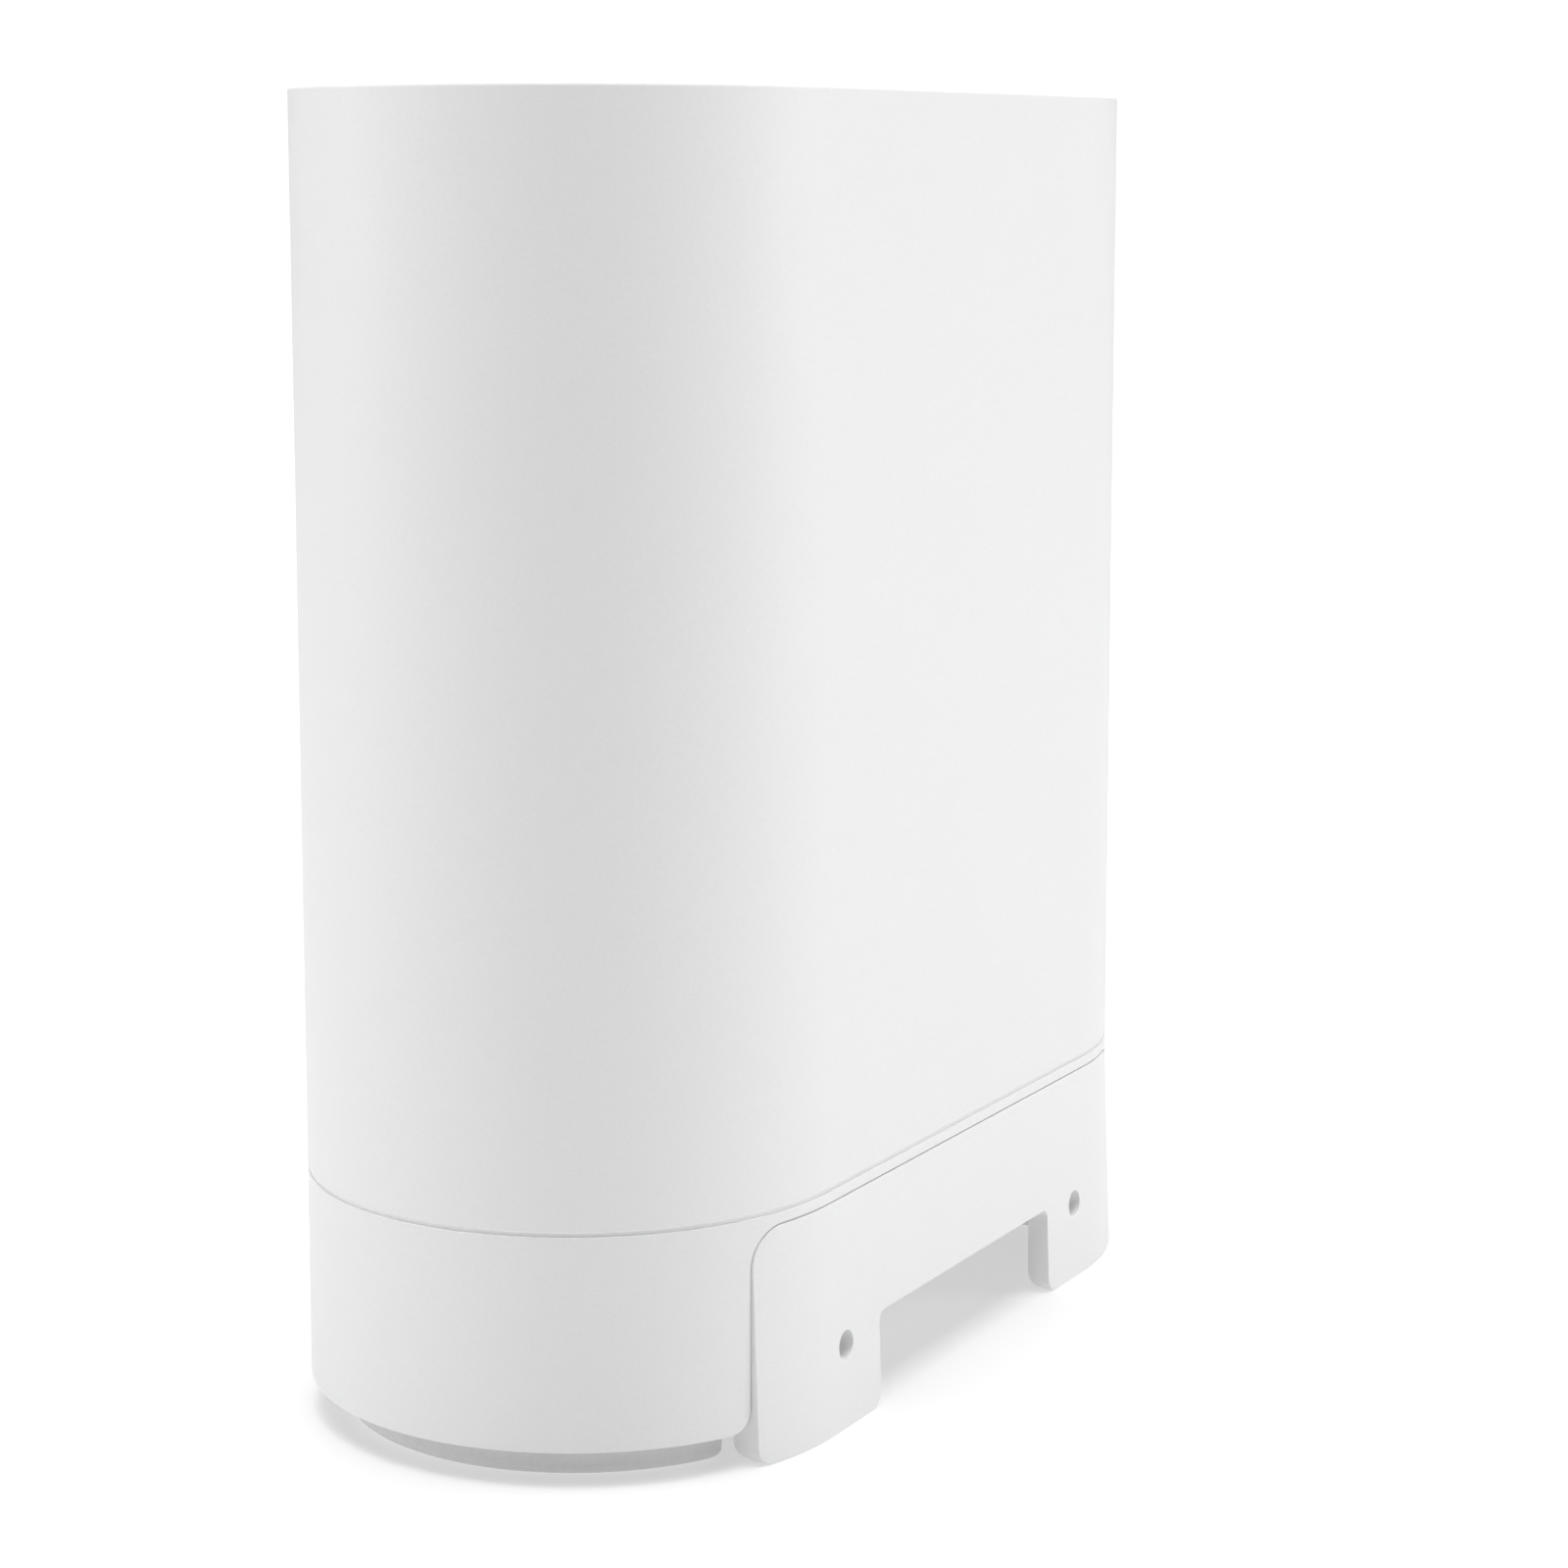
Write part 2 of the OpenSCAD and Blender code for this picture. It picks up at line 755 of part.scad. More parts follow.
placed() top_shell();
placed() lower_skirt();
placed() rear_mount_plate();
placed() base_tray();
placed() foot(-1);  // foot_left
placed() foot(1);  // foot_right
placed() tray_rim();
placed() tray_posts();
placed() mount_plate_lugs();
placed() hinge_lugs();
placed() body_gasket();
placed() shell_screws();
placed() foot_screws();
placed() mount_plate_screws();
placed() port_cover();
placed() cover_gasket();
placed() cover_hinge_pin();
placed() modular_jack(-jack_x);  // lan_jack
placed() modular_jack(jack_x);  // poe_jack
placed() jack_contacts();
placed() pair_button();
placed() reset_button();
placed() tact_switches();
placed() breather_vent();
placed() earth_screw();
placed() status_light_pipe();
placed() status_led();
placed() port_board();
placed() port_board_screws();
placed() board_link();
placed() chassis();
placed() chassis_screws();
placed() main_board();
placed() main_board_screws();
placed() system_chip();
placed() memory_chips();
placed() thermal_pad();
placed() heat_sink();
placed() heat_sink_screws();
placed() shield_can(-can.x - 5);  // shield_can_left
placed() shield_can(5);  // shield_can_right
placed() patch_antenna(-1, patch_z[0]);  // patch_antenna_1
placed() patch_antenna(1, patch_z[0]);  // patch_antenna_2
placed() patch_antenna(-1, patch_z[1]);  // patch_antenna_3
placed() patch_antenna(1, patch_z[1]);  // patch_antenna_4
placed() antenna_spacers();
placed() antenna_feeds();
placed() end_antenna_board(-1);  // end_antenna_left
placed() end_antenna_board(1);  // end_antenna_right
placed() antenna_bracket(-1);  // antenna_bracket_left
placed() antenna_bracket(1);  // antenna_bracket_right
placed() antenna_leads();
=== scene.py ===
"""Visual model of an outdoor wireless router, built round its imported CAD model.

The casing pieces are rebuilt with rounded edges. Every other CAD node keeps its shape and, except
for the faceted antenna leads, gets softened edges. Every piece has a procedural material. All
lengths are in metres.
"""

import json
import math

import bmesh
import bpy
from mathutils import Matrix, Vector


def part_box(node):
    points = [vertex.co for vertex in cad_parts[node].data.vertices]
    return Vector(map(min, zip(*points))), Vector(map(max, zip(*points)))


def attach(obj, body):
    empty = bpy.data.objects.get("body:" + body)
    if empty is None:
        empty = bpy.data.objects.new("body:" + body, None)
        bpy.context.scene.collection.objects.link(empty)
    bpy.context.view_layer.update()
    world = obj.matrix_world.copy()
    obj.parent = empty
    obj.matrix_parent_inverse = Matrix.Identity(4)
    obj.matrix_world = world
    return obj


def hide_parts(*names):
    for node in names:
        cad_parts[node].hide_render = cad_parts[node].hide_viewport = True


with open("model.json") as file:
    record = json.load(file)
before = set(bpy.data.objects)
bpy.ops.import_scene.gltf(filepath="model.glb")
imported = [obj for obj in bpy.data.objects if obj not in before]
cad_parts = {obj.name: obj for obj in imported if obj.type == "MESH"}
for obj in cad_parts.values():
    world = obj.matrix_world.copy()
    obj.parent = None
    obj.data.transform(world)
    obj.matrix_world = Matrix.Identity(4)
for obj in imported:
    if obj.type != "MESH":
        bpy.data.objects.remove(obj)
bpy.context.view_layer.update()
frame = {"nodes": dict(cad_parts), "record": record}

MM = 0.001
ROOT = "router"

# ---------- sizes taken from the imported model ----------

SHELL_LOW, SHELL_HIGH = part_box("top_shell")
SKIRT_LOW, SKIRT_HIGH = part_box("lower_skirt")
PLATE_LOW, PLATE_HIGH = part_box("rear_mount_plate")
TRAY_LOW, TRAY_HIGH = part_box("base_tray")
FOOT_LOW, FOOT_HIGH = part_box("foot_right")
PIPE_LOW, PIPE_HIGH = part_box("status_light_pipe")

MID_Y = (SHELL_LOW.y + SHELL_HIGH.y) / 2
END_R = (SHELL_HIGH.y - SHELL_LOW.y) / 2
END_X = SHELL_HIGH.x - END_R
MOUNTS = {m["name"]: m for m in frame["record"]["mounts"]}
BOLTS = MOUNTS["leg_bolt_holes"]

REAR = (MID_Y, MID_Y + 2 * END_R)
FRONT = (MID_Y - 2 * END_R, MID_Y - END_R / 2)

# ---------- sizes that the boxes don't give ----------

SEAM = 0.7 * MM
SEAM_DEPTH = 0.32 * MM
WALL = 2.6 * MM
INNER_R = END_R - WALL
RIM_R = 1.15 * MM
PIPE_BORE_R = 1.6 * MM

PLATE_GAP = 0.3 * MM
PLATE_CORNER_R = 6.8 * MM
PLATE_INNER_R = END_R - 3.4 * MM
LEG_CORNER_R = 3.4 * MM
SKIRT_CORNER_R = 4 * MM
ARCH_WIDTH = 72.6 * MM
ARCH_TOP = 17.4 * MM
ARCH_CORNER_R = 2.0 * MM

ARC_STEPS = 64
CORNER_STEPS = 10
NODE_BEVEL = 0.2 * MM
FINE_BEVEL = 0.08 * MM
WHITE = (1, 1, 1, 1)
BLACK = (0, 0, 0, 1)


# ---------- mesh helpers ----------

def outline(r, steps=ARC_STEPS):
    """The stadium at distance r from its centre line, anticlockwise."""
    points = []
    for side in (1, -1):
        for i in range(steps + 1):
            turn = math.pi * (i / steps - 0.5)
            x = side * (END_X + r * math.cos(turn))
            y = MID_Y + side * r * math.sin(turn)
            points.append((x, y))
    return points


def rounded(points, closed=False, steps=6):
    """Rounds the corners of a polyline. Each point is (u, v) or (u, v, radius)."""
    result = []
    count = len(points)
    for i, point in enumerate(points):
        here = Vector(point[:2])
        radius = point[2] if len(point) > 2 else 0.0
        ends = not closed and i in (0, count - 1)
        if radius == 0.0 or ends:
            result.append(tuple(here))
            continue
        before = (Vector(points[i - 1][:2]) - here).normalized()
        after = (Vector(points[(i + 1) % count][:2]) - here).normalized()
        half = before.angle(after) / 2
        reach = radius / math.tan(half)
        centre = here + (before + after).normalized() * radius / math.sin(half)
        start = here + before * reach - centre
        end = here + after * reach - centre
        sweep = math.atan2(start.x * end.y - start.y * end.x, start.dot(end))
        for k in range(steps + 1):
            turn = sweep * k / steps
            cos, sin = math.cos(turn), math.sin(turn)
            spoke = Vector((start.x * cos - start.y * sin, start.x * sin + start.y * cos))
            result.append(tuple(centre + spoke))
    return result


def as_object(name, bm):
    """Turns a bmesh into an object in the scene, with its normals outward."""
    bmesh.ops.recalc_face_normals(bm, faces=bm.faces)
    mesh = bpy.data.meshes.new(name)
    bm.to_mesh(mesh)
    bm.free()
    obj = bpy.data.objects.new(name, mesh)
    bpy.context.scene.collection.objects.link(obj)
    return obj


def swept(name, profile, closed):
    """Sweeps a profile of (distance from the centre line, height) round the stadium."""
    bm = bmesh.new()
    rings = []
    for r, z in profile:
        rings.append([bm.verts.new((x, y, z)) for x, y in outline(r)])
    pairs = list(zip(rings, rings[1:]))
    if closed:
        pairs.append((rings[-1], rings[0]))
    for low, high in pairs:
        for i, _ in enumerate(low):
            j = (i + 1) % len(low)
            bm.faces.new((low[i], low[j], high[j], high[i]))
    if not closed:
        bm.faces.new(rings[0])
        bm.faces.new(rings[-1])
    return as_object(name, bm)


def prism(name, points, near, far):
    """Extrudes a closed outline of (x, z) points along y, from near to far."""
    bm = bmesh.new()
    rings = [[bm.verts.new((x, y, z)) for x, z in points] for y in (near, far)]
    for i, _ in enumerate(points):
        j = (i + 1) % len(points)
        bm.faces.new((rings[0][i], rings[0][j], rings[1][j], rings[1][i]))
    for ring in rings:
        bm.faces.new(ring)
    return as_object(name, bm)


def circle(u, v, r, steps=48):
    turns = [2 * math.pi * i / steps for i in range(steps)]
    return [(u + r * math.cos(t), v + r * math.sin(t)) for t in turns]


def bake(obj):
    """Applies the object's modifiers to its mesh."""
    bpy.context.view_layer.update()
    graph = bpy.context.evaluated_depsgraph_get()
    mesh = bpy.data.meshes.new_from_object(obj.evaluated_get(graph))
    obj.modifiers.clear()
    obj.data = mesh
    return obj


def combine(obj, other, operation="DIFFERENCE"):
    """Cuts other out of obj, joins it on or keeps what they share, and removes other."""
    modifier = obj.modifiers.new("combine", "BOOLEAN")
    modifier.operation = operation
    modifier.solver = "EXACT"
    modifier.object = other
    bake(obj)
    bpy.data.objects.remove(other)
    return obj


def tidy_mesh(obj, merge=0.002 * MM):
    """Merges points closer than merge and the coplanar faces that a cut leaves."""
    bm = bmesh.new()
    bm.from_mesh(obj.data)
    bmesh.ops.remove_doubles(bm, verts=bm.verts, dist=merge)
    flat = math.radians(0.2)
    bmesh.ops.dissolve_limit(bm, angle_limit=flat, verts=bm.verts, edges=bm.edges)
    bm.to_mesh(obj.data)
    bm.free()


def soften(obj, width, segments=3, angle=30.0):
    """Rounds every edge sharper than angle, in degrees, with a modifier."""
    bevel = obj.modifiers.new("bevel", "BEVEL")
    bevel.limit_method = "ANGLE"
    bevel.angle_limit = math.radians(angle)
    bevel.width = width
    bevel.segments = segments
    bevel.use_clamp_overlap = True
    bevel.harden_normals = False


def shade(obj, angle=40.0):
    """Shades smoothly, with edges past angle kept sharp and the normals weighted by area."""
    obj.data.shade_smooth()
    obj.data.set_sharp_from_angle(angle=math.radians(angle))
    normals = obj.modifiers.new("normals", "WEIGHTED_NORMAL")
    normals.keep_sharp = True
    normals.weight = 80


# ---------- materials ----------

def node(tree, kind, **settings):
    made = tree.nodes.new("ShaderNode" + kind)
    for name, value in settings.items():
        setattr(made, name, value)
    return made


def noise(tree, vector, size, detail=3.0, stretch=(1, 1, 1)):
    """A noise whose features are about size metres across. Returns its value socket."""
    mapping = node(tree, "Mapping")
    mapping.inputs["Scale"].default_value = [s / size for s in stretch]
    texture = node(tree, "TexNoise")
    texture.inputs["Scale"].default_value = 1.0
    texture.inputs["Detail"].default_value = detail
    tree.links.new(vector, mapping.inputs["Vector"])
    tree.links.new(mapping.outputs["Vector"], texture.inputs["Vector"])
    return texture.outputs["Fac"]


def spread(tree, value, low, high, from_low=0.3, from_high=0.7):
    """Maps a noise value to the range from low to high."""
    scale = node(tree, "MapRange")
    scale.inputs["From Min"].default_value = from_low
    scale.inputs["From Max"].default_value = from_high
    scale.inputs["To Min"].default_value = low
    scale.inputs["To Max"].default_value = high
    tree.links.new(value, scale.inputs["Value"])
    return scale.outputs["Result"]


def blend_colours(tree, factor, first, second):
    mix = node(tree, "Mix", data_type="RGBA")
    tree.links.new(factor, mix.inputs["Factor"])
    for socket, colour in ((mix.inputs["A"], first), (mix.inputs["B"], second)):
        if isinstance(colour, bpy.types.NodeSocket):
            tree.links.new(colour, socket)
        else:
            socket.default_value = (*colour, 1.0)
    return mix.outputs["Result"]


def bumped(tree, shader, height, depth, strength=1.0, before=None):
    bump = node(tree, "Bump")
    bump.inputs["Strength"].default_value = strength
    bump.inputs["Distance"].default_value = depth
    tree.links.new(height, bump.inputs["Height"])
    if before is not None:
        tree.links.new(before, bump.inputs["Normal"])
    tree.links.new(bump.outputs["Normal"], shader.inputs["Normal"])
    return bump.outputs["Normal"]


def new_material(name):
    """An empty material: (material, its node tree, its shader, its position socket)."""
    made = bpy.data.materials.new(name)
    made.use_nodes = True
    tree = made.node_tree
    tree.nodes.clear()
    output = node(tree, "OutputMaterial")
    shader = node(tree, "BsdfPrincipled")
    tree.links.new(shader.outputs["BSDF"], output.inputs["Surface"])
    spot = node(tree, "TexCoord").outputs["Object"]
    return made, tree, shader, spot


def shaded(colour, share):
    return [c * share for c in colour]


def moulded(name, colour, roughness, grain=0.35 * MM, depth=0.02 * MM, mottle=0.02, **settings):
    """Moulded plastic: spark-eroded grain, slow colour drift and uneven gloss."""
    made, tree, shader, spot = new_material(name)
    drift = noise(tree, spot, 38 * MM, 2.0)
    cloud = spread(tree, drift, 0.0, 1.0)
    base = blend_colours(tree, cloud, shaded(colour, 1 - mottle), colour)
    fleck = spread(tree, noise(tree, spot, 2 * grain, 4.0), 0.0, 1.0)
    worn = blend_colours(tree, fleck, base, shaded(colour, 1 - 0.03 - 1.5 * mottle))
    tree.links.new(worn, shader.inputs["Base Color"])
    gloss = spread(tree, noise(tree, spot, 9 * MM), roughness - 0.05, roughness + 0.05)
    tree.links.new(gloss, shader.inputs["Roughness"])
    wave = bumped(tree, shader, noise(tree, spot, 26 * MM, 1.0), 0.03 * MM, 0.35)
    bumped(tree, shader, noise(tree, spot, grain, 2.0), depth, 0.5, wave)
    for socket, value in settings.items():
        shader.inputs[socket.replace("_", " ")].default_value = value
    return made


def metal(name, colour, roughness, lines=0.12 * MM, stretch=(1, 1, 30), depth=0.004 * MM):
    """Machined or rolled metal with fine lines along one axis and a few stains."""
    made, tree, shader, spot = new_material(name)
    stain = spread(tree, noise(tree, spot, 6 * MM), 0.0, 1.0)
    base = blend_colours(tree, stain, shaded(colour, 0.88), colour)
    tree.links.new(base, shader.inputs["Base Color"])
    grain = noise(tree, spot, lines, 2.0, [1 / s for s in stretch])
    gloss = spread(tree, grain, roughness - 0.08, roughness + 0.1)
    tree.links.new(gloss, shader.inputs["Roughness"])
    bumped(tree, shader, grain, depth, 0.6)
    shader.inputs["Metallic"].default_value = 1.0
    return made


def copper_tracks(tree, in_mm):
    """A brick pattern turned by 45 degrees, whose joints are the tracks."""
    turned = node(tree, "VectorRotate", rotation_type="AXIS_ANGLE")
    turned.inputs["Axis"].default_value = (1, 0, 0)
    turned.inputs["Angle"].default_value = math.radians(45)
    tree.links.new(in_mm, turned.inputs["Vector"])
    tracks = node(tree, "TexBrick", offset_frequency=3)
    settings = {"Scale": 1.0, "Brick Width": 5.2, "Row Height": 0.9, "Mortar Size": 0.16,
                "Color1": WHITE, "Color2": WHITE, "Mortar": BLACK}
    for socket, value in settings.items():
        tracks.inputs[socket].default_value = value
    tree.links.new(turned.outputs["Vector"], tracks.inputs["Vector"])
    return tracks


def plated_holes(tree, in_mm):
    """Small round spots scattered over the board: 1 on a spot and 0 off it."""
    cells = node(tree, "TexVoronoi", feature="F1")
    cells.inputs["Scale"].default_value = 0.42
    tree.links.new(in_mm, cells.inputs["Vector"])
    return spread(tree, cells.outputs["Distance"], 1.0, 0.0, 0.2, 0.24)


def circuit(name, mask, copper, pad):
    """Solder mask over copper tracks and areas, with plated holes."""
    made, tree, shader, spot = new_material(name)
    in_mm = node(tree, "Mapping")
    in_mm.inputs["Scale"].default_value = (1 / MM, 1 / MM, 1 / MM)
    tree.links.new(spot, in_mm.inputs["Vector"])
    tracks = copper_tracks(tree, in_mm.outputs["Vector"])
    holes = plated_holes(tree, in_mm.outputs["Vector"])
    ground = spread(tree, noise(tree, spot, 12 * MM, 1.0), 0.0, 1.0, 0.48, 0.52)
    weave = blend_colours(tree, ground, mask, copper)
    routed = blend_colours(tree, tracks.outputs["Color"], copper, weave)
    base = blend_colours(tree, holes, routed, pad)
    tree.links.new(base, shader.inputs["Base Color"])
    gloss = spread(tree, noise(tree, spot, 3 * MM), 0.28, 0.4)
    tree.links.new(gloss, shader.inputs["Roughness"])
    tree.links.new(holes, shader.inputs["Metallic"])
    relief = bumped(tree, shader, tracks.outputs["Fac"], -0.03 * MM, 0.6)
    bumped(tree, shader, holes, 0.05 * MM, 0.7, relief)
    return made


def make_materials():
    """One material for each slot of the record."""
    grey = (0.74, 0.74, 0.735)
    steel = (0.62, 0.62, 0.61)
    return {
        "casing": moulded("casing", (0.872, 0.873, 0.876), 0.5, grain=0.2 * MM,
                          depth=0.03 * MM, mottle=0.008),
        "tray": moulded("tray", grey, 0.55, grain=0.5 * MM),
        # The feet are the casing's white plastic. Their colour is set darker than the casing's,
        # which paints shade under the skirt.
        "foot": moulded("foot", (0.8, 0.8, 0.797), 0.55, grain=0.5 * MM),
        "cover": moulded("cover", (0.84, 0.84, 0.835), 0.5, mottle=0.01),
        "button": moulded("button", (0.8, 0.8, 0.795), 0.38, grain=0.25 * MM, depth=0.008 * MM),
        "dark_button": moulded("dark_button", (0.03, 0.03, 0.032), 0.5),
        "gasket": moulded("gasket", (0.012, 0.012, 0.013), 0.7, grain=0.6 * MM, mottle=0.2),
        "screw_steel": metal("screw_steel", steel, 0.3, stretch=(1, 1, 1)),
        "black_screw": metal("black_screw", (0.03, 0.03, 0.032), 0.42, stretch=(1, 1, 1)),
        "pin_steel": metal("pin_steel", steel, 0.22, stretch=(30, 1, 1)),
        "jack_body": moulded("jack_body", (0.012, 0.012, 0.013), 0.3, depth=0.006 * MM),
        "gold_plate": metal("gold_plate", (0.86, 0.6, 0.2), 0.18),
        "switch": moulded("switch", (0.02, 0.02, 0.02), 0.4),
        "vent": moulded("vent", (0.03, 0.03, 0.032), 0.6, grain=0.5 * MM),
        "brass": metal("brass", (0.72, 0.5, 0.2), 0.28, stretch=(1, 1, 1)),
        "light_pipe": moulded("light_pipe", (0.86, 0.88, 0.88), 0.25,
                              depth=0.004 * MM, Transmission_Weight=0.15),
        "led": moulded("led", (0.5, 0.8, 0.55), 0.15, depth=0.002 * MM, Transmission_Weight=0.5),
        "circuit_board": circuit("circuit_board", (0.004, 0.05, 0.02), (0.012, 0.11, 0.045),
                                 (0.7, 0.68, 0.62)),
        "ribbon": moulded("ribbon", (0.7, 0.66, 0.52), 0.42, grain=1.0 * MM),
        "chassis_sheet": metal("chassis_sheet", (0.72, 0.73, 0.74), 0.36, stretch=(40, 1, 1)),
        "chip": moulded("chip", (0.012, 0.012, 0.012), 0.5, grain=0.18 * MM),
        "thermal_pad": moulded("thermal_pad", (0.3, 0.38, 0.5), 0.8, grain=0.7 * MM, mottle=0.1),
        "heat_sink": metal("heat_sink", (0.55, 0.56, 0.57), 0.4, stretch=(1, 1, 60)),
        "shield": metal("shield", (0.7, 0.7, 0.69), 0.26, stretch=(20, 1, 1)),
        "antenna_board": circuit("antenna_board", (0.32, 0.26, 0.09), (0.45, 0.36, 0.12),
                                 (0.8, 0.45, 0.25)),
        "nylon": moulded("nylon", (0.7, 0.7, 0.66), 0.45, Subsurface_Weight=0.2),
        "coax": moulded("coax", (0.015, 0.015, 0.015), 0.45, grain=0.4 * MM),
    }


MATERIALS = make_materials()


def place(obj, slot, body, *nodes):
    """Gives a new piece its material, its CAD body and the CAD nodes that it stands for."""
    obj.data.materials.clear()
    obj.data.materials.append(MATERIALS[slot])
    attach(obj, body)
    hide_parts(*nodes)


# ---------- casing ----------

def make_shell():
    """The tall cover: one thin wall with a rounded rim, open at the bottom."""
    top = SHELL_HIGH.z
    bottom = SKIRT_HIGH.z + SEAM
    tongue_r = END_R - SEAM_DEPTH
    roof = top - 2.8 * MM
    cap = 9 * MM
    profile = rounded([
        (END_R - cap, top),
        (END_R, top, RIM_R),
        (END_R, bottom, 0.35 * MM),
        (tongue_r, bottom, 0.05 * MM),
        (tongue_r, SHELL_LOW.z),
        (INNER_R, SHELL_LOW.z),
        (INNER_R, roof, 2.0 * MM),
        (INNER_R - cap, roof),
    ])
    shell = swept("top_shell_finished", profile, closed=False)
    shade(shell)
    place(shell, "casing", ROOT, "top_shell")


def panel_outline(width, top, r_top, bottom, r_bottom):
    """An upright rectangle with one radius at its top corners and one at its bottom corners."""
    half = width / 2
    return rounded([
        (-half, bottom, r_bottom),
        (half, bottom, r_bottom),
        (half, top, r_top),
        (-half, top, r_top),
    ], closed=True, steps=CORNER_STEPS)


def slot_outline(width, mouth, top, r_top, r_mouth):
    """A slot open at the bottom that rounds the corners beside its mouth."""
    half = width / 2
    outside = half + 2 * r_mouth
    low = mouth - 0.01 * MM
    below = mouth - 10 * MM
    return rounded([
        (-outside, low),
        (-half, low, r_mouth),
        (-half, top, r_top),
        (half, top, r_top),
        (half, low, r_mouth),
        (outside, low),
        (outside, below),
        (-outside, below),
    ], closed=True, steps=CORNER_STEPS)


def make_skirt():
    """The ring below the seam, with the mounting plate's place cut out at the rear."""
    gap = PLATE_GAP
    low, high = SKIRT_LOW.z, SKIRT_HIGH.z
    ring = swept("lower_skirt_finished", [
        (INNER_R, low), (END_R, low), (END_R, high), (INNER_R, high),
    ], closed=True)
    width = 2 * (PLATE_HIGH.x + gap)
    top = PLATE_HIGH.z + gap
    opening = slot_outline(width, low, top, PLATE_CORNER_R + gap, SKIRT_CORNER_R)
    combine(ring, prism("cutter", opening, *REAR))
    bore = circle(0.0, (PIPE_LOW.z + PIPE_HIGH.z) / 2, PIPE_BORE_R, 32)
    combine(ring, prism("cutter", bore, *FRONT))
    tidy_mesh(ring)
    soften(ring, 0.35 * MM)
    bake(ring)
    shade(ring)
    place(ring, "casing", ROOT, "lower_skirt")


def make_seat():
    """The plate's rim behind the skirt's edge, which closes the gap round the plate."""
    lip = PLATE_GAP - 0.02 * MM
    low, high = SKIRT_LOW.z + 6 * MM, PLATE_HIGH.z + lip
    outer = END_R - 0.5 * MM
    inner = INNER_R + 0.3 * MM
    over = 1.5 * MM
    seat = swept("seat", [
        (inner, low), (outer, low), (outer, high + MM), (inner, high + MM),
    ], closed=True)
    width = 2 * (PLATE_HIGH.x + lip)
    rim = panel_outline(width, high, PLATE_CORNER_R + lip, low + 0.1 * MM, 0.5 * MM)
    combine(seat, prism("rim", rim, *REAR), "INTERSECT")
    hollow = panel_outline(width - 2 * over, high - over, 6 * MM, low - MM, 0.5 * MM)
    return combine(seat, prism("hollow", hollow, *REAR))


def make_plate():
    """The rear mounting plate: flared, wrapped onto both ends, with two legs and an arch."""
    top, bottom = PLATE_HIGH.z, PLATE_LOW.z
    flare = PLATE_HIGH.y - MID_Y - END_R
    step = TRAY_LOW.z - 0.2 * MM
    shelf_r = TRAY_HIGH.y - MID_Y + 0.1 * MM
    section = rounded([
        (END_R, top), (END_R + flare, bottom), (PLATE_INNER_R, bottom, 4 * MM),
        (PLATE_INNER_R, step), (shelf_r, step), (shelf_r, top),
    ], closed=True, steps=8)
    plate = swept("rear_mount_plate_finished", section, closed=True)
    panel = panel_outline(2 * PLATE_HIGH.x, top, PLATE_CORNER_R, bottom, LEG_CORNER_R)
    arch = slot_outline(ARCH_WIDTH, bottom, ARCH_TOP, ARCH_CORNER_R, LEG_CORNER_R)
    combine(plate, prism("panel", panel, *REAR), "INTERSECT")
    combine(plate, prism("arch", arch, *REAR))
    bore_r = BOLTS["dims"]["hole_r_mm"] * MM
    pitch = BOLTS["dims"]["spacing_x_mm"] * MM
    for side in (-1, 1):
        hole = circle(side * pitch / 2, BOLTS["pos_m"][2], bore_r)
        combine(plate, prism("bore", hole, *REAR))
    tidy_mesh(plate, merge=0.25 * MM)
    soften(plate, 0.7 * MM, segments=4)
    bake(plate)
    combine(plate, make_seat(), "UNION")
    shade(plate)
    place(plate, "casing", ROOT, "rear_mount_plate")


def foot_outline(side, inset, steps=64):
    """The D-shaped plan of a foot, drawn in by inset."""
    r = FOOT_HIGH.x - END_X - inset
    flat_x = FOOT_LOW.x + inset
    chord = math.acos((flat_x - END_X) / r)
    points = []
    for i in range(steps + 1):
        turn = chord * (2 * i / steps - 1)
        points.append((side * (END_X + r * math.cos(turn)), MID_Y + r * math.sin(turn)))
    return points


def make_foot(name, side):
    """A D-shaped cup under one round end, with its floor turned up in a soft curve."""
    wall, base, edge = 2.5 * MM, 2.5 * MM, 2.2 * MM
    low, high = FOOT_LOW.z, FOOT_HIGH.z
    profile = [(edge * 2, low)]
    steps = 8
    for i in range(steps + 1):
        turn = math.pi / 2 * i / steps
        profile.append((edge * (1 - math.sin(turn)), low + edge * (1 - math.cos(turn))))
    profile += [(0.0, high), (wall, high), (wall, low + base), (wall * 3, low + base)]
    bm = bmesh.new()
    rings = []
    for inset, z in profile:
        rings.append([bm.verts.new((x, y, z)) for x, y in foot_outline(side, inset)])
    for lower, upper in zip(rings, rings[1:]):
        for i, _ in enumerate(lower):
            j = (i + 1) % len(lower)
            bm.faces.new((lower[i], lower[j], upper[j], upper[i]))
    bm.faces.new(rings[0])
    bm.faces.new(rings[-1])
    foot = as_object(name + "_finished", bm)
    soften(foot, 0.35 * MM)
    bake(foot)
    shade(foot)
    place(foot, "foot", ROOT, name)


make_shell()
make_skirt()
make_plate()
make_foot("foot_right", 1)
make_foot("foot_left", -1)

# ---------- the other CAD nodes ----------

SUBPARTS = {s["node"]: s["material_slot"] for s in frame["record"]["subparts"]}
FACETED = ("antenna_leads",)
FINE = ("jack_contacts", "memory_chips", "thermal_pad", "end_antenna_left", "end_antenna_right",
        "status_led", "board_link", "reset_button", "cover_gasket")


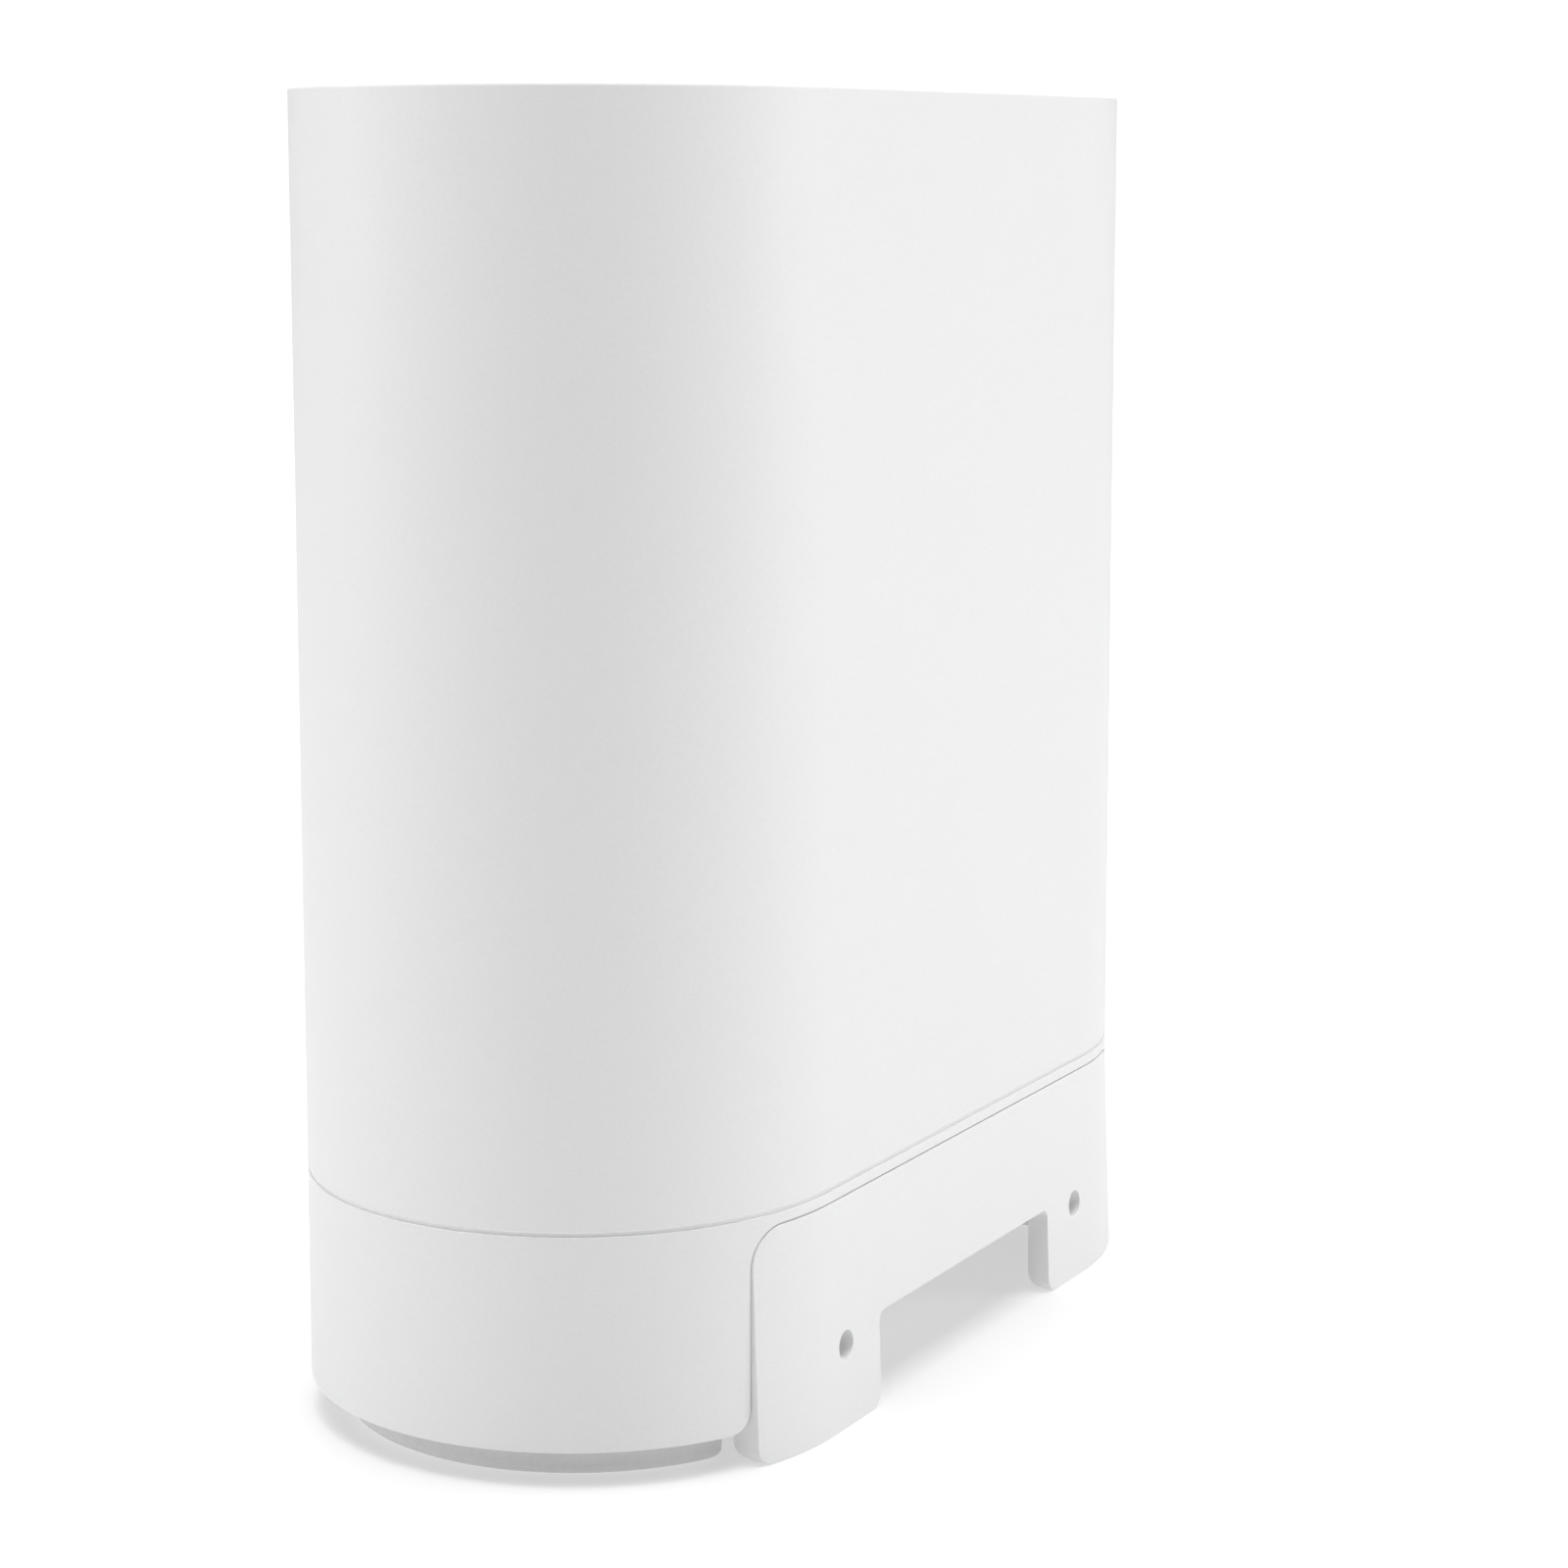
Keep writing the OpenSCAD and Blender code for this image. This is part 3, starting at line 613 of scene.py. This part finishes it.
def finish_node(name, obj):
    """Softens a CAD node's edges with modifiers and gives it its slot's material."""
    obj.data.materials.clear()
    obj.data.materials.append(MATERIALS[SUBPARTS[name]])
    if name not in FACETED:
        weld = obj.modifiers.new("weld", "WELD")
        weld.merge_threshold = 0.002 * MM
        flat = obj.modifiers.new("flat", "DECIMATE")
        flat.decimate_type = "DISSOLVE"
        flat.angle_limit = math.radians(0.5)
        soften(obj, FINE_BEVEL if name in FINE else NODE_BEVEL, segments=2)
    normals = obj.modifiers.new("normals", "WEIGHTED_NORMAL")
    normals.keep_sharp = True


for name, obj in frame["nodes"].items():
    if not obj.hide_render:
        finish_node(name, obj)

# ---------- camera, light and floor ----------

LIT_POINT = (0, 0, 0.11)
LIGHT_DISTANCE = 1.5
SOFTBOX = (0.8, 1.2)
FLOOR_R = 12.0
FLOOR_NEAR = 0.35
FLOOR_FAR = 1.6


def make_camera():
    """Looks from behind and to the right, slightly down, with a small lens shift."""
    azimuth, pitch = math.radians(28.85), math.radians(8.01)
    data = bpy.data.cameras.new("camera")
    data.sensor_width = 36.0
    data.lens = 81.61
    data.shift_y = -0.08
    data.clip_start = 0.01
    camera = bpy.data.objects.new("camera", data)
    camera.location = (0.5876, 0.3341, 0.2239)
    ahead = Vector((
        -math.cos(azimuth) * math.cos(pitch),
        -math.sin(azimuth) * math.cos(pitch),
        -math.sin(pitch),
    ))
    camera.rotation_euler = ahead.to_track_quat("-Z", "Y").to_euler()
    bpy.context.scene.collection.objects.link(camera)
    bpy.context.scene.camera = camera


def make_light(name, direction, size, power):
    """An area light that faces the middle of the router and isn't seen itself."""
    data = bpy.data.lights.new(name, "AREA")
    data.shape = "RECTANGLE"
    data.size, data.size_y = size
    data.energy = power
    light = bpy.data.objects.new(name, data)
    away = Vector(direction).normalized()
    light.location = Vector(LIT_POINT) + away * LIGHT_DISTANCE
    light.rotation_euler = away.to_track_quat("Z", "Y").to_euler()
    light.visible_camera = False
    bpy.context.scene.collection.objects.link(light)


def floor_material():
    """Pale and matt, with a glow that grows with the distance from the router.

    The haze is added for camera rays only: it whitens the floor without lighting the router.
    """
    made, tree, shader, spot = new_material("floor")
    tint = spread(tree, noise(tree, spot, 0.4, 2.0), 0.0, 1.0)
    base = blend_colours(tree, tint, (0.44, 0.44, 0.44), (0.46, 0.46, 0.46))
    tree.links.new(base, shader.inputs["Base Color"])
    shader.inputs["Roughness"].default_value = 0.9
    distance = node(tree, "VectorMath", operation="LENGTH")
    tree.links.new(spot, distance.inputs[0])
    glow = spread(tree, distance.outputs["Value"], 0.42, 0.53, FLOOR_NEAR, FLOOR_FAR)
    haze = spread(tree, distance.outputs["Value"], 0.04, 0.55, FLOOR_NEAR, FLOOR_FAR)
    path = node(tree, "LightPath")
    seen = node(tree, "Math", operation="MULTIPLY_ADD")
    tree.links.new(path.outputs["Is Camera Ray"], seen.inputs[0])
    tree.links.new(haze, seen.inputs[1])
    tree.links.new(glow, seen.inputs[2])
    shader.inputs["Emission Color"].default_value = WHITE
    tree.links.new(seen.outputs["Value"], shader.inputs["Emission Strength"])
    return made


def make_floor():
    bm = bmesh.new()
    bmesh.ops.create_circle(bm, cap_ends=True, radius=FLOOR_R, segments=96)
    floor = as_object("floor", bm)
    floor.data.materials.append(floor_material())


def make_world():
    """White to the eye, and a dimmer even light on the object."""
    world = bpy.data.worlds.new("studio")
    world.use_nodes = True
    tree = world.node_tree
    tree.nodes.clear()
    output = tree.nodes.new("ShaderNodeOutputWorld")
    seen = tree.nodes.new("ShaderNodeBackground")
    light = tree.nodes.new("ShaderNodeBackground")
    seen.inputs["Strength"].default_value = 1.05
    light.inputs["Strength"].default_value = 0.2
    for background in (seen, light):
        background.inputs["Color"].default_value = WHITE
    path = tree.nodes.new("ShaderNodeLightPath")
    mix = tree.nodes.new("ShaderNodeMixShader")
    tree.links.new(path.outputs["Is Camera Ray"], mix.inputs["Fac"])
    tree.links.new(light.outputs["Background"], mix.inputs[1])
    tree.links.new(seen.outputs["Background"], mix.inputs[2])
    tree.links.new(mix.outputs["Shader"], output.inputs["Surface"])
    bpy.context.scene.world = world


make_camera()
make_world()
make_floor()
make_light("softbox_right", (-0.53, 0.85, 0.25), SOFTBOX, 7.3)
make_light("softbox_left", (0.53, -0.85, 0.25), SOFTBOX, 6.3)
make_light("overhead", (0.0, 0.0, 1.0), (1.5, 1.5), 42)
bpy.context.scene.view_settings.view_transform = "Standard"
